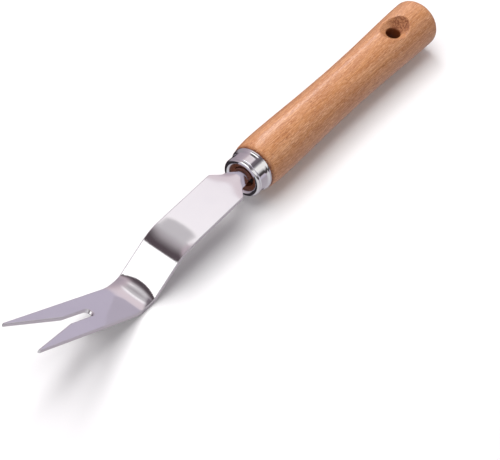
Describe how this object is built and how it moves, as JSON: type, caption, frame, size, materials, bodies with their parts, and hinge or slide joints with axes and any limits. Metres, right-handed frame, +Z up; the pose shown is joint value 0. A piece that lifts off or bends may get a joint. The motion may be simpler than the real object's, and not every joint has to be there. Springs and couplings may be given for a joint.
{
  "type": "hand weeder",
  "caption": "Hand weeder with a cranked, forked steel blade set in a ferruled wooden handle; the heel is the fulcrum for levering weeds out by the root.",
  "frame": {"origin": "centre of the bounding box at its base, on the surface the tool lies on", "axes": "+X runs along the tool from the fork tips to the butt of the handle, +Z is up with the tool lying on its heel and butt and the tips raised, +Y completes the right-handed set; the tool is symmetric about Y = 0"},
  "size_m": [0.3216, 0.0276, 0.0439],
  "materials": {
    "polished_steel": "mirror-polished stainless steel",
    "bright_chrome": "bright chrome plating",
    "lacquered_ash": "turned hardwood under satin-gloss clear lacquer",
    "cured_resin": "cured epoxy, hidden in the bore"
  },
  "bodies": {
    "root": {"blade": "polished_steel", "ferrule": "bright_chrome", "handle": "lacquered_ash", "tang_resin": "cured_resin"}
  },
  "joints": []
}
